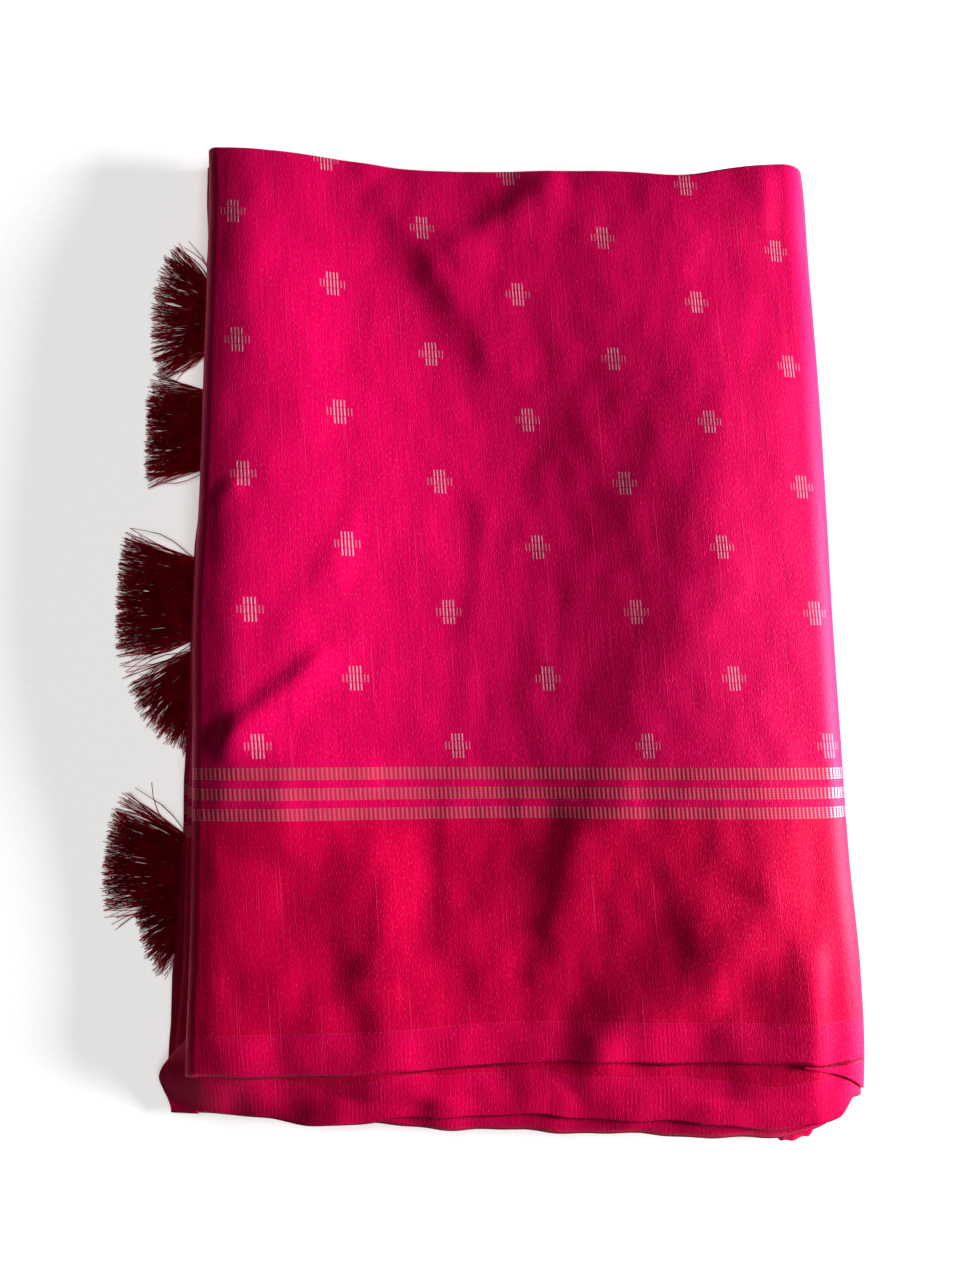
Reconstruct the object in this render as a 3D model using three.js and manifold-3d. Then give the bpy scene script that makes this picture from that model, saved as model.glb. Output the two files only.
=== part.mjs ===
// A folded saree, lying flat. Millimetres, +Z up. +X runs along the cloth's length and +Y across it, so the
// selvedges lie at the front (-Y) and the fold across the width at the back (+Y). The cloth was folded once
// across its width and then four times along its length. The last fold is at the right (+X). The loose ends,
// one of them the tasselled end piece, are at the left (-X). The origin is the middle of the underside.
import * as THREE from "three";
import { mergeVertices } from "three/addons/utils/BufferGeometryUtils.js";
import Module from "manifold-3d";

const wasm = await Module();
wasm.setup();

// ---- driving dimensions ----

const CLOTH = { wall: 1.2, seam: 0.3 }; // a ply's thickness, and the gap kept between two pieces
const PLY = CLOTH.wall + CLOTH.seam; // what one ply takes up in the pile
const RIGHT_TURN = { reach: 15 }; // how far in from the right edge the last fold begins to turn down
const LEFT_TURN = { reach: 8 }; // the same at the left, where the top half of the pile turns under
const BACK_ROLL = { radius: 2.2, turn: 0.8 * Math.PI, steps: 4 }; // the fold across the width

// The pile's outline and height at sections from front to back. The left edge is that of its top half. The
// height is that of a crest inside the left edge, of the dip where the plies sink, of the ridge that the
// last fold pushes up, and of where the right side begins to turn down.
const SECTIONS = [
  { y: -306, left: -196, right: 204, crest: 12, dipX: 20, dip: 12.5, ridgeX: 120, ridge: 14, edge: 12.5 },
  { y: -285, left: -195, right: 206, crest: 16.5, dipX: 20, dip: 16.5, ridgeX: 122, ridge: 18, edge: 17 },
  { y: -255, left: -193, right: 208, crest: 20.5, dipX: 10, dip: 20, ridgeX: 130, ridge: 22, edge: 20.5 },
  { y: -192, left: -191, right: 206, crest: 23, dipX: -36, dip: 22, ridgeX: 140, ridge: 27, edge: 22 },
  { y: -132, left: -190, right: 201, crest: 24.5, dipX: -42, dip: 21, ridgeX: 138, ridge: 28.5, edge: 22.5 },
  { y: -60, left: -189, right: 197, crest: 29, dipX: -16, dip: 20, ridgeX: 132, ridge: 28.5, edge: 22.5 },
  { y: 12, left: -189, right: 193.5, crest: 31.5, dipX: -19, dip: 20, ridgeX: 130, ridge: 28.5, edge: 22.5 },
  { y: 96, left: -186, right: 190, crest: 32, dipX: -10, dip: 19.5, ridgeX: 121, ridge: 29.5, edge: 22.5 },
  { y: 156, left: -185, right: 187, crest: 31, dipX: -27, dip: 20, ridgeX: 113, ridge: 29, edge: 22.5 },
  { y: 228, left: -184, right: 182, crest: 28.5, dipX: -70, dip: 20.5, ridgeX: 88, ridge: 27, edge: 21.5 },
  { y: 285, left: -185, right: 177, crest: 24, dipX: -109, dip: 21, ridgeX: 118, ridge: 27.5, edge: 22 },
  { y: 306, left: -186, right: 174, crest: 22, dipX: -109, dip: 20, ridgeX: 118, ridge: 25, edge: 20.5 },
];
const SHOULDER = { wide: 18, drop: 1.6 }; // the rounding between the left edge's turn and the crest
const RIGHT_FALL = 1.6; // how the height falls from the ridge to the right turn: 1 is straight

// Where the edges run, from left to right: the fold across the width, and the selvedges of the top ply, of
// the ply under it, and of the one under that.
const EDGES = [
  { x: -215, back: 302, first: -268, second: -284, third: -278 },
  { x: -185, back: 301, first: -266, second: -287, third: -281 },
  { x: -140, back: 298, first: -265, second: -286, third: -284 },
  { x: -90, back: 292, first: -263, second: -288, third: -289 },
  { x: -60, back: 288, first: -260, second: -286, third: -292 },
  { x: -20, back: 286, first: -256, second: -284, third: -294 },
  { x: 30, back: 285, first: -257, second: -285, third: -295 },
  { x: 80, back: 283, first: -258, second: -287, third: -297 },
  { x: 115, back: 280, first: -255, second: -288, third: -297 },
  { x: 150, back: 284, first: -257, second: -289, third: -295 },
  { x: 178, back: 286, first: -256, second: -284, third: -285 },
  { x: 196, back: 286, first: -252, second: -272, third: -272 },
];

// The largest folds in the top ply: soft ridges between two points, bowed sideways at the middle.
const FOLDS = [
  { name: "throat ridge", x0: -4, y0: 135, x1: -80, y1: 262, bow: 2, wide: 18, high: 1.6 },
  { name: "long ridge", x0: 120, y0: 120, x1: 5, y1: -171, bow: 20, wide: 26, high: 1.6 },
  { name: "pulled ridge", x0: -178, y0: -64, x1: -115, y1: -14, bow: 0, wide: 14, high: 1.8 },
  { name: "border swell", x0: -76, y0: -104, x1: -66, y1: -262, bow: 0, wide: 24, high: 1.4 },
  { name: "border ridge", x0: 53, y0: -257, x1: 155, y1: -156, bow: -6, wide: 18, high: 2.2 },
  { name: "corner ridge", x0: 174, y0: -258, x1: 178, y1: -190, bow: 0, wide: 15, high: 2.0 },
];
const FOLD_FADE = { from: 0.25, to: 0.2 }; // how far past and inside its ends a fold fades, in lengths
const CALM = { left: 22, right: 19 }; // how far from the turns the folds reach their full height

// The rim of the hidden layers, lowest first, as if they were six: how far each is short of the longest
// selvedge at the front and of the back fold, and how far it stands out past the top half at the left, where
// the lowest leaves room for the end piece and the tassels and the upper three fill the top half's turn.
const RIM_LAYERS = [
  { front: 15, back: 5, left: -25 },
  { front: 8, back: 3, left: 14 },
  { front: 5, back: 5, left: 9 },
  { front: 8, back: 4, left: 0 },
  { front: 4, back: 6, left: 0 },
  { front: 7, back: 5, left: 0 },
];
const RIM_GROOVE = { front: 1.2, back: 2.0, left: 2.4, share: 0.14 }; // how deep and wide, between two layers
const RIM_BASE = { front: 12, back: 10 }; // where the rim begins, in from the longest selvedge and the fold
const LEFT_SWELL = { y0: 280, y1: -240, least: 0.2 }; // the left layers stand out less towards the back
// How deep the hidden layers lie below the skin, inside and at both ends, and how clear of the turned plies.
const CORE = { depth: 1.6, edgeDepth: 4.7, turnMargin: 0.7, leftClear: 2.4, rightClear: 0.5 };

// The left end of the second ply flares past the top one into an ear: how far at the selvedge and where it
// comes out, how much it droops, and how far in front of the top ply's selvedge it begins.
const EAR = { tip: 10.5, reach: 19, droop: 0.45, clear: 0.9 };

// The corner of the last fold, turned up beside the top ply's selvedge.
// It grows from its least length to its most between two shares of the girth, and ends at a third.
const CORNER_FLAP = { from: 0.77, full: 0.9, to: 0.93, least: 1, most: 18, rows: 3 };

// The crumpled tuck under it: a small roll of cloth, open towards the pile.
const TUCK = { x0: 154, x1: 185, front0: -300, front1: -293, high: 8, floor: 2, shift: 9, clear: 0.8 };
const TUCK_GRID = { across: 6, round: 8 };
const TUCK_BULGE = { least: 0.45, from: 0.2, to: 0.8 }; // how it swells between its ends, in half turns

// The end piece at the left, between the bottom ply and the folds over it.
const END_PIECE = { from: 8.5, to: 22, clear: 0.1, front: -262, back: 272, across: 3, along: 12 };

// The tassels on it, from back to front. A tassel's strands fan out from one angle to another, in degrees
// from -X towards -Y.
const TASSELS = [
  { y: 200, from: -68, to: 38, long: 38, columns: 13, rows: 2 },
  { y: 132, from: -38, to: 40, long: 40, columns: 12, rows: 2 },
  { y: 24, from: -38, to: 38, long: 61, columns: 13, rows: 2 },
  { y: -6, from: 24, to: 84, long: 54, columns: 12, rows: 2 },
  { y: -141, from: -42, to: 8, long: 61, columns: 11, rows: 2 },
  { y: -157, from: 14, to: 58, long: 40, columns: 10, rows: 2 },
];
const HEAD = { from: 0, long: 8.2, wide: 9, high: 4, lift: 0.6, sides: 10, rings: 6 };
// A strand droops to its lowest by a share of its length.
const STRAND = { thick: 1.3, taper: 0.6, spans: 2, bend: 5, low: 0.8, layer: 1.5, sink: 2.4, droop: 0.8 };
const STRAND_LAYERS = { tip: 0.8, root: 0.6, shorter: 0.06 }; // how far apart two rows of strands are
const STRAND_UNEVEN = { angle: 0.25, long: 0.05 }; // how much angles vary, in gaps, and lengths, in shares

// ---- helpers ----

const { lerp, clamp, degToRad } = THREE.MathUtils;
const smooth = (from, to, at) => {
  const t = clamp((at - from) / (to - from), 0, 1);
  return t * t * (3 - 2 * t);
};
const steps = (count) => Array.from({ length: count + 1 }, (_, i) => i / count);

// A reading of a table: its columns, evened out between rows, as a function of the one it is sorted by.
function reading(rows, sortedBy, columns) {
  const places = rows.map((row) => row[sortedBy]);
  const values = rows.flatMap((row) => columns.map((column) => row[column]));
  const curve = new THREE.CubicInterpolant(places, values, columns.length);
  return (at) => {
    const found = [...curve.evaluate(clamp(at, places[0], places.at(-1)))];
    return Object.fromEntries(columns.map((column, i) => [column, found[i]]));
  };
}

const HEIGHTS = ["crest", "dipX", "dip", "ridgeX", "ridge", "edge"];
const sectionAt = reading(SECTIONS, "y", ["left", "right", ...HEIGHTS]);
const edgesAt = reading(EDGES, "x", ["back", "first", "second", "third"]);

// How much one fold lifts the cloth at a place.
function foldLift({ x0, y0, x1, y1, bow, wide, high }, x, y) {
  const long = Math.hypot(x1 - x0, y1 - y0);
  const [ux, uy] = [(x1 - x0) / long, (y1 - y0) / long];
  const along = ((x - x0) * ux + (y - y0) * uy) / long;
  const beside = (x - x0) * -uy + (y - y0) * ux - bow * (1 - (2 * along - 1) ** 2);
  const { from, to } = FOLD_FADE;
  const fade = smooth(-from, to, along) * smooth(1 + from, 1 - to, along);
  return high * fade * Math.exp(-((beside / wide) ** 2));
}

// The height of the pile's upper face: high at both sides, where the folds lie, and low between.
function skin(x, y) {
  const { left, right, crest, dipX, dip, ridgeX, ridge, edge } = sectionAt(y);
  const [start, end] = [left + LEFT_TURN.reach, right - RIGHT_TURN.reach];
  const crestX = start + SHOULDER.wide;
  const shoulder = SHOULDER.drop * clamp((crestX - x) / SHOULDER.wide, 0, 1) ** 2;
  const sink = (crest - dip) * smooth(crestX, dipX, x);
  const rise = (ridge - dip) * smooth(dipX, ridgeX, x);
  const fall = (ridge - edge) * clamp((x - ridgeX) / (end - ridgeX), 0, 1) ** RIGHT_FALL;
  const calm = smooth(start, start + CALM.left, x) * smooth(end, end - CALM.right, x);
  const relief = FOLDS.reduce((sum, fold) => sum + foldLift(fold, x, y), 0);
  return crest - shoulder - sink + rise - fall + relief * calm;
}

function geometryOf(points, triangles) {
  const geometry = new THREE.BufferGeometry();
  geometry.setAttribute("position", new THREE.Float32BufferAttribute(points.flat(), 3));
  geometry.setIndex(triangles.flat());
  geometry.computeVertexNormals();
  return geometry;
}

// A wall of cloth between an outer and an inner grid of points, [column][row], joined round its four edges.
// Columns run towards +X and rows towards +Y where the outer face looks up.
function wallGeometry(outer, inner) {
  const [columns, rows] = [outer.length, outer[0].length];
  const at = (side, i, j) => (side * columns + i) * rows + j;
  const triangles = [];
  const quad = (a, b, c, d) => triangles.push([a, b, c], [a, c, d]);
  for (let i = 0; i + 1 < columns; i++) {
    for (let j = 0; j + 1 < rows; j++) {
      quad(at(0, i, j), at(0, i + 1, j), at(0, i + 1, j + 1), at(0, i, j + 1));
      quad(at(1, i, j), at(1, i, j + 1), at(1, i + 1, j + 1), at(1, i + 1, j));
    }
    quad(at(0, i + 1, 0), at(0, i, 0), at(1, i, 0), at(1, i + 1, 0));
    quad(at(0, i, rows - 1), at(0, i + 1, rows - 1), at(1, i + 1, rows - 1), at(1, i, rows - 1));
  }
  for (let j = 0; j + 1 < rows; j++) {
    quad(at(0, 0, j), at(0, 0, j + 1), at(1, 0, j + 1), at(1, 0, j));
    quad(at(0, columns - 1, j + 1), at(0, columns - 1, j), at(1, columns - 1, j), at(1, columns - 1, j + 1));
  }
  return geometryOf([...outer.flat(), ...inner.flat()], triangles);
}

// The triangles that join closed rings of points, lowest first. Ring points run anticlockwise from above.
function ringTriangles(rings, count) {
  const triangles = [];
  for (let i = 0; i + 1 < rings; i++)
    for (let j = 0; j < count; j++) {
      const next = (j + 1) % count;
      const [a, b] = [i * count, (i + 1) * count];
      triangles.push([a + j, a + next, b + next], [a + j, b + next, b + j]);
    }
  return triangles;
}

const WELD = 1e-5; // points nearer than this are one
function solidOf(geometry) {
  const bare = geometry.clone();
  bare.deleteAttribute("normal");
  bare.deleteAttribute("uv");
  const merged = mergeVertices(bare, WELD);
  const mesh = new wasm.Mesh({
    numProp: 3,
    vertProperties: merged.attributes.position.array,
    triVerts: Uint32Array.from(merged.index.array),
  });
  return new wasm.Manifold(mesh);
}

function geometryOfSolid(solid) {
  const { vertProperties, triVerts } = solid.getMesh();
  const geometry = new THREE.BufferGeometry();
  geometry.setAttribute("position", new THREE.Float32BufferAttribute(vertProperties, 3));
  geometry.setIndex([...triVerts]);
  geometry.computeVertexNormals();
  return geometry;
}

// ---- materials ----

const cloth = (name, color) => new THREE.MeshStandardMaterial({ name, color, roughness: 0.55, metalness: 0 });
const silk = cloth("raw silk", "#c8044a");
const thread = cloth("tassel thread", "#5a0a1c");

const saree = new THREE.Group();
const place = (name, geometry, material) => {
  const mesh = new THREE.Mesh(geometry, material);
  mesh.name = name;
  saree.add(mesh);
};

// ---- the lattice that all plies follow, so that they nest ----

// Along the girth, 0 is the ply's lower end at the left and 1 its end on the floor at the right.
const GIRTH = { leftTurn: 0.12, rightTurn: 0.82, leftSteps: 5, acrossSteps: 20, rightSteps: 7 };
const LEFT_SHARES = steps(GIRTH.leftSteps).map((t) => t * GIRTH.leftTurn);
const ACROSS_SHARES = steps(GIRTH.acrossSteps).map((t) => lerp(GIRTH.leftTurn, GIRTH.rightTurn, t));
const RIGHT_SHARES = steps(GIRTH.rightSteps).map((t) => lerp(GIRTH.rightTurn, 1, t));
const SHARES = [...LEFT_SHARES, ...ACROSS_SHARES.slice(1), ...RIGHT_SHARES.slice(1)];

const innerLeft = (y) => sectionAt(y).left + LEFT_TURN.reach;
const innerRight = (y) => sectionAt(y).right - RIGHT_TURN.reach;

// A point of the girth at a depth below the pile's skin. At the left a flare widens the turn.
function girthPoint(share, y, depth, flare = 0) {
  if (share < GIRTH.leftTurn) {
    const high = skin(innerLeft(y), y);
    const half = high / 4;
    const turn = Math.PI * (share / GIRTH.leftTurn - 0.5);
    const reach = LEFT_TURN.reach - depth + flare;
    const droop = flare > 0 ? 1 - EAR.droop * Math.cos(turn) : 1;
    const z = high - half + (half - depth) * Math.sin(turn);
    return [innerLeft(y) - reach * Math.cos(turn), y, z * droop];
  }
  if (share <= GIRTH.rightTurn) {
    const t = (share - GIRTH.leftTurn) / (GIRTH.rightTurn - GIRTH.leftTurn);
    const x = lerp(innerLeft(y), innerRight(y), t);
    return [x, y, skin(x, y) - depth];
  }
  const half = skin(innerRight(y), y) / 2;
  const turn = Math.PI * (0.5 - (share - GIRTH.rightTurn) / (1 - GIRTH.rightTurn));
  const reach = RIGHT_TURN.reach - depth;
  return [innerRight(y) + reach * Math.cos(turn), y, half + (half - depth) * Math.sin(turn)];
}

const edgesOf = (share) => edgesAt(girthPoint(share, 0, 0)[0]);

// Rows of the lattice behind the top ply's selvedge: two for the plies hidden under it, then even ones.
const HIDDEN_ROW = 14;
const MAIN_ROWS = 18;
function mainRows(share) {
  const { first, back } = edgesOf(share);
  const even = steps(MAIN_ROWS).map((t) => lerp(first + 2 * HIDDEN_ROW, back - RIM_BASE.back, t));
  return [first, first + HIDDEN_ROW, ...even];
}

// ---- the top ply: over the pile, under at the left, and down to the floor at the right ----

function topPly(depth) {
  const { radius, turn } = BACK_ROLL;
  return SHARES.map((share) => {
    const start = edgesOf(share).back - radius;
    const flat = [...mainRows(share), start].map((y) => girthPoint(share, y, depth));
    const roll = steps(BACK_ROLL.steps).slice(1).map((t) => {
      const sunk = radius - (radius - depth) * Math.cos(t * turn);
      return girthPoint(share, start + (radius - depth) * Math.sin(t * turn), sunk);
    });
    return [...flat, ...roll];
  });
}

place("top_ply", wallGeometry(topPly(0), topPly(CLOTH.wall)), silk);

// ---- the plies that show past the top one's selvedge ----

// The second ply: nested under the top one, and flared into an ear in front of it at the left.
const FRONT_STEPS = 4;
function secondPly(depth) {
  return SHARES.map((share) => {
    const { first, second } = edgesOf(share);
    const flare = (y) => lerp(EAR.tip, EAR.reach, smooth(second, first, y));
    const shown = steps(FRONT_STEPS).map((t) => lerp(second, first - 2 * EAR.clear, t));
    const hidden = [first - EAR.clear, ...mainRows(share).slice(0, 3)];
    return [
      ...shown.map((y) => girthPoint(share, y, depth, flare(y))),
      ...hidden.map((y) => girthPoint(share, y, depth)),
    ];
  });
}
place("second_ply", wallGeometry(secondPly(PLY), secondPly(PLY + CLOTH.wall)), silk);

const THIRD_ROWS = 4;
function thirdPly(depth) {
  return ACROSS_SHARES.map((share) => {
    const { first, third } = edgesOf(share);
    const rows = [...steps(THIRD_ROWS).map((t) => lerp(third, first, t)), first + HIDDEN_ROW];
    return rows.map((y) => girthPoint(share, y, depth));
  });
}
place("third_ply", wallGeometry(thirdPly(2 * PLY), thirdPly(2 * PLY + CLOTH.wall)), silk);

// ---- the hidden layers: one solid under the lattice, layered at its rim ----

const leftSwell = (y) => lerp(LEFT_SWELL.least, 1, smooth(LEFT_SWELL.y0, LEFT_SWELL.y1, y));

// How far the rim stands out at the left of where the top half begins to turn under.
function leftReach(layer, groove, y, z, depth, inFront) {
  const high = skin(innerLeft(y), y);
  const isUpper = layer >= RIM_LAYERS.length / 2 || z > high / 2 - 1;
  if (!isUpper) {
    const { left } = RIM_LAYERS[layer];
    const out = left > 0 ? left * (inFront ? 0 : leftSwell(y)) : left;
    return LEFT_TURN.reach + out - groove * RIM_GROOVE.left;
  }
  const half = high / 4;
  const inset = depth + CORE.turnMargin;
  const sine = clamp((z - (high - half)) / (half - inset), -1, 1);
  return (LEFT_TURN.reach - inset) * Math.sqrt(1 - sine ** 2) - CORE.leftClear;
}

// The same at the right, where the rim follows the inside of the last fold.
function rightReach(y, z, depth) {
  const half = skin(innerRight(y), y) / 2;
  const inset = depth + CORE.turnMargin;
  const sine = clamp((z - half) / (half - inset), -1, 1);
  return (RIGHT_TURN.reach - inset) * Math.sqrt(1 - sine ** 2) - CORE.rightClear;
}

// The rows at the front over which the second and third plies lie, and so the core is sunk for them.
const COVERED_ROWS = 5;
function coreGeometry() {
  const shares = ACROSS_SHARES;
  const top = shares.map((share) => {
    const { first, third } = edgesOf(share);
    const main = mainRows(share);
    const rows = [third + RIM_BASE.front, first - EAR.clear, ...main];
    return rows.map((y, j) => {
      const isEdge = j < COVERED_ROWS || j === rows.length - 1;
      const depth = isEdge ? CORE.edgeDepth : CORE.depth;
      return { share, y, depth, inFront: j < 2, point: girthPoint(share, y, depth) };
    });
  });
  const [lastColumn, lastRow] = [top.length - 1, top[0].length - 1];
  const side = (i, j) => ({ x: (i === lastColumn) - (i === 0), y: (j === lastRow) - (j === 0), i, j });
  const rim = [
    ...top.map((_, i) => side(i, 0)),
    ...top[0].slice(1).map((_, j) => side(lastColumn, j + 1)),
    ...top.slice(1).map((_, i) => side(lastColumn - 1 - i, lastRow)),
    ...top[0].slice(2).map((_, j) => side(0, lastRow - 1 - j)),
  ];
  const rimPoint = (place, layer, within) => {
    const { point, depth, inFront } = top[place.i][place.j];
    const groove = within === 0.5 ? 0 : 1;
    const { front, back } = RIM_LAYERS[layer];
    const forward = RIM_BASE.front - front - groove * RIM_GROOVE.front;
    const backward = RIM_BASE.back - back - groove * RIM_GROOVE.back;
    const y = point[1] + (place.y < 0 ? -forward : place.y > 0 ? backward : 0);
    const z = lerp(PLY, skin(point[0], y) - depth, (layer + within) / RIM_LAYERS.length);
    if (place.x < 0) return [point[0] - leftReach(layer, groove, y, z, depth, inFront), y, z];
    if (place.x > 0) return [point[0] + rightReach(y, z, depth), y, z];
    return [point[0], y, z];
  };
  const { share } = RIM_GROOVE;
  const levels = RIM_LAYERS.flatMap((_, layer) => [share, 0.5, 1 - share].map((within) => [layer, within]));
  const rings = levels.map(([layer, within]) => rim.map((place) => rimPoint(place, layer, within)));
  const count = rim.length;
  const gridStart = rings.length * count;
  const rows = lastRow + 1;
  const grid = (i, j) => gridStart + i * rows + j;
  const triangles = ringTriangles(rings.length, count);
  for (let j = 0; j < count; j++) {
    const [here, next] = [rim[j], rim[(j + 1) % count]];
    const [a, b] = [gridStart - count + j, gridStart - count + ((j + 1) % count)];
    triangles.push([a, b, grid(next.i, next.j)], [a, grid(next.i, next.j), grid(here.i, here.j)]);
  }
  for (let i = 0; i < lastColumn; i++)
    for (let j = 0; j < lastRow; j++) {
      triangles.push([grid(i, j), grid(i + 1, j), grid(i + 1, j + 1)]);
      triangles.push([grid(i, j), grid(i + 1, j + 1), grid(i, j + 1)]);
    }
  const points = [...rings.flat(), ...top.flat().map(({ point }) => point)];
  const middle = points.push([0, 0, rings[0][0][2]]) - 1;
  for (let j = 0; j < count; j++) triangles.push([middle, (j + 1) % count, j]);
  return geometryOf(points, triangles);
}

place("inner_layers", coreGeometry(), silk);

// ---- the bottom ply, which the pile lies on ----

const BOTTOM_COLUMNS = 8;
function bottomPly(z) {
  return steps(BOTTOM_COLUMNS).map((t) => {
    const share = lerp(GIRTH.leftTurn, GIRTH.rightTurn, t);
    const rows = [edgesOf(share).third + RIM_BASE.front, ...mainRows(share)];
    return rows.map((y) => [lerp(innerLeft(y) + 2 * CLOTH.seam, innerRight(y) - CLOTH.seam, t), y, z]);
  });
}

place("bottom_ply", wallGeometry(bottomPly(CLOTH.wall), bottomPly(0)), silk);

// ---- the turned-up corner of the last fold, and the tuck under it ----

function cornerFlap(depth) {
  const { from, full, to, least, most, rows } = CORNER_FLAP;
  return SHARES.filter((share) => share >= from && share <= to).map((share) => {
    const edge = edgesOf(share).first - CLOTH.seam;
    const long = lerp(least, most, smooth(from, full, share));
    return steps(rows).map((t) => girthPoint(share, edge - long * (1 - t), depth));
  });
}

place("corner_flap", wallGeometry(cornerFlap(0), cornerFlap(CLOTH.wall)), silk);

function tuck(depth) {
  const { x0, x1, front0, front1, high, floor, shift, clear } = TUCK;
  return steps(TUCK_GRID.across).map((s) => {
    const x = lerp(x0, x1, s);
    const y = edgesAt(x - shift).third + clear;
    const { least, from, to } = TUCK_BULGE;
    const bulge = lerp(least, 1, Math.sin(Math.PI * lerp(from, to, s)));
    const reach = (y - lerp(front0, front1, s)) * bulge;
    return steps(TUCK_GRID.round).map((t) => {
      const turn = Math.PI * (0.5 - t);
      const rise = (high / 2 - depth) * Math.sin(turn);
      return [x, y - (reach - depth) * Math.cos(turn), floor + high / 2 - rise];
    });
  });
}

place("corner_tuck", wallGeometry(tuck(0), tuck(CLOTH.wall)), silk);

// ---- the end piece and its tassels ----

function endPiece(z) {
  const { from, to, front, back, across, along } = END_PIECE;
  return steps(across).map((s) =>
    steps(along).map((t) => {
      const y = lerp(front, back, t);
      return [sectionAt(y).left + lerp(from, to, s), y, z];
    }),
  );
}

const endPieceTop = PLY + CLOTH.wall + END_PIECE.clear;
place("end_piece", wallGeometry(endPiece(endPieceTop), endPiece(endPieceTop - CLOTH.wall)), silk);

// A small unevenness from -1 to 1, the same on each run.
const uneven = (seed) => 2 * (Math.abs(Math.sin(seed * 12.9898) * 43758.5453) % 1) - 1;

// One strand of a tassel: a thin three-sided taper that leaves the head at an angle and droops to the floor.
function strand(root, angle, long, layer, seed) {
  const sides = 3;
  const rings = steps(STRAND.spans).map((t) => {
    const heading = degToRad(angle + STRAND.bend * uneven(seed + 0.5) * t);
    const far = STRAND.sink + (long - STRAND.sink) * t;
    const tip = STRAND.low + STRAND.layer * layer * STRAND_LAYERS.tip;
    const centre = [root[0] - far * Math.cos(heading), root[1] - far * Math.sin(heading)];
    const start = root[2] + (layer - 1) * STRAND.layer * STRAND_LAYERS.root;
    const z = lerp(start, tip, smooth(0, STRAND.droop, t));
    const radius = (STRAND.thick / 2) * lerp(1, STRAND.taper, t);
    return steps(sides).slice(1).map((side) => {
      const turn = 2 * Math.PI * side + Math.PI / 2;
      const [aside, above] = [radius * Math.cos(turn), radius * Math.sin(turn)];
      return [centre[0] + aside * Math.sin(heading), centre[1] - aside * Math.cos(heading), z + above];
    });
  });
  const points = rings.flat();
  const triangles = ringTriangles(rings.length, sides);
  const last = (rings.length - 1) * sides;
  triangles.push([0, 2, 1], [last, last + 1, last + 2]);
  return geometryOf(points, triangles);
}

function tassel({ y, from, to, long, columns, rows }, seed) {
  const x = sectionAt(y).left + HEAD.from + HEAD.long / 2;
  const root = [x, y, HEAD.lift + HEAD.high / 2];
  const head = new THREE.SphereGeometry(1, HEAD.sides, HEAD.rings);
  head.rotateZ(Math.PI / 2).scale(HEAD.long / 2, HEAD.wide / 2, HEAD.high / 2).translate(...root);
  let solid = solidOf(head);
  for (let layer = 0; layer < rows; layer++)
    for (let i = 0; i < columns; i++) {
      const key = seed * 100 + layer * 31 + i;
      const angle = lerp(from, to, (i + 0.5 + STRAND_UNEVEN.angle * uneven(key)) / columns);
      const shorter = STRAND_LAYERS.shorter * layer + STRAND_UNEVEN.long * Math.abs(uneven(-key));
      const reach = long * (1 - shorter);
      solid = solid.add(solidOf(strand(root, angle, reach, layer, key)));
    }
  return geometryOfSolid(solid);
}

TASSELS.forEach((row, i) => place(`tassel_${i + 1}`, tassel(row, i + 1), thread));

export default saree;
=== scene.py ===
import math
import random

import bmesh
import bpy
import numpy as np
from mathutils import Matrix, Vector, noise


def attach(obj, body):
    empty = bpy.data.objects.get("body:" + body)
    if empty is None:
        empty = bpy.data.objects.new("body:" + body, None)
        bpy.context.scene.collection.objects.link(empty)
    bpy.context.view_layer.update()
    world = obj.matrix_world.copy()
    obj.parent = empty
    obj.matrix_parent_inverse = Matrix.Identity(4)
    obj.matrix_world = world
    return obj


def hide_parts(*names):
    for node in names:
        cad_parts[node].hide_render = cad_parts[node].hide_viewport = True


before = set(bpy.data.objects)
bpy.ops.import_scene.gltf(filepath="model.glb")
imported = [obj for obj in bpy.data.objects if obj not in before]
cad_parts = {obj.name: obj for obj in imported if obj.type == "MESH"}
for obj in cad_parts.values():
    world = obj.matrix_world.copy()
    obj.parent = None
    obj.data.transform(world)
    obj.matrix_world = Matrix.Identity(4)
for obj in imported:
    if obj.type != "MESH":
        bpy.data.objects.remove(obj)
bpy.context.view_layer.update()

scene = bpy.context.scene
MM = 0.001

# A folded saree of raw silk, lying flat. +X runs along the cloth's length, +Y across it: selvedges in front,
# the fold across the width at the back, the last fold at the right, the loose ends and tassels at the left.
# All tables are in millimetres.


# ---- tables ----

def table(columns, *rows):
    """A table as one curve for each named column, read at the first column's values."""
    names = columns.split()
    numbers = np.array(rows, float)
    places = numbers[:, 0]

    def curve(values):
        slopes = np.gradient(values, places)

        def read(at):
            at = np.clip(at, places[0], places[-1])
            i = np.clip(np.searchsorted(places, at) - 1, 0, len(places) - 2)
            span = places[i + 1] - places[i]
            t = (at - places[i]) / span
            near, far = values[i], values[i + 1]
            rise = t * t * (3 - 2 * t)
            bend = slopes[i] * t * (1 - t) ** 2 - slopes[i + 1] * t * t * (1 - t)
            return near + (far - near) * rise + bend * span

        return read

    return {name: curve(numbers[:, k]) for k, name in enumerate(names) if k}


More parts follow.
